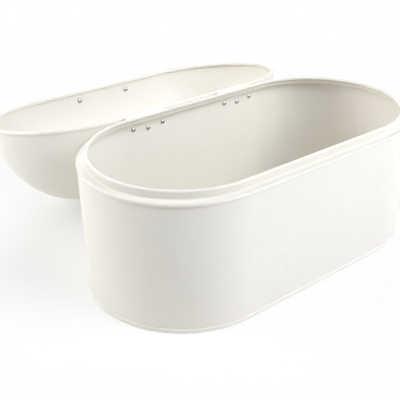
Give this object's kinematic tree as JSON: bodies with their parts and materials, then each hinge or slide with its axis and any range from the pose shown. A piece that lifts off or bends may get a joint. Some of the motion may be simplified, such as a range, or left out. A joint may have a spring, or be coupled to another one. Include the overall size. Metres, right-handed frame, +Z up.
{
  "type": "bread box",
  "caption": "Round-ended bread box of painted sheet steel with a stepped neck and a domed lid on rear hinges, shown laid open.",
  "frame": {"origin": "centre of the base's flat underside", "axes": "+Z up, -Y front (the side away from the hinges), +Y towards the hinges and the opened lid, X along the long sides"},
  "size_m": [0.421, 0.4757, 0.1577],
  "materials": {
    "cream_coat": "satin powder coat, warm off-white",
    "hinge_steel": "plain bright-drawn steel",
    "bright_steel": "polished",
    "handle_chrome": "polished"
  },
  "bodies": {
    "body": {"base_panel": "cream_coat", "body_wall": "cream_coat", "neck_collar": "cream_coat", "hinge_left_body_leaf": "hinge_steel", "hinge_left_pin": "hinge_steel", "hinge_right_body_leaf": "hinge_steel", "hinge_right_pin": "hinge_steel", "body_rivet_left_a": "bright_steel", "body_rivet_left_b": "bright_steel", "body_rivet_left_c": "bright_steel", "body_rivet_right_a": "bright_steel", "body_rivet_right_b": "bright_steel", "body_rivet_right_c": "bright_steel"},
    "lid": {"lid_shell": "cream_coat", "hinge_left_lid_leaf": "hinge_steel", "hinge_right_lid_leaf": "hinge_steel", "lid_rivet_left_a": "bright_steel", "lid_rivet_left_b": "bright_steel", "lid_rivet_left_c": "bright_steel", "lid_rivet_right_a": "bright_steel", "lid_rivet_right_b": "bright_steel", "lid_rivet_right_c": "bright_steel", "handle_bow": "handle_chrome", "handle_screw_left": "bright_steel", "handle_screw_right": "bright_steel"}
  },
  "joints": [
    {"name": "lid_hinge", "type": "hinge", "parent": "body", "child": "lid", "pos_m": [0, 0.1152, 0.1505], "axis": [1, 0, 0], "range_deg": [0, 189.72]}
  ]
}
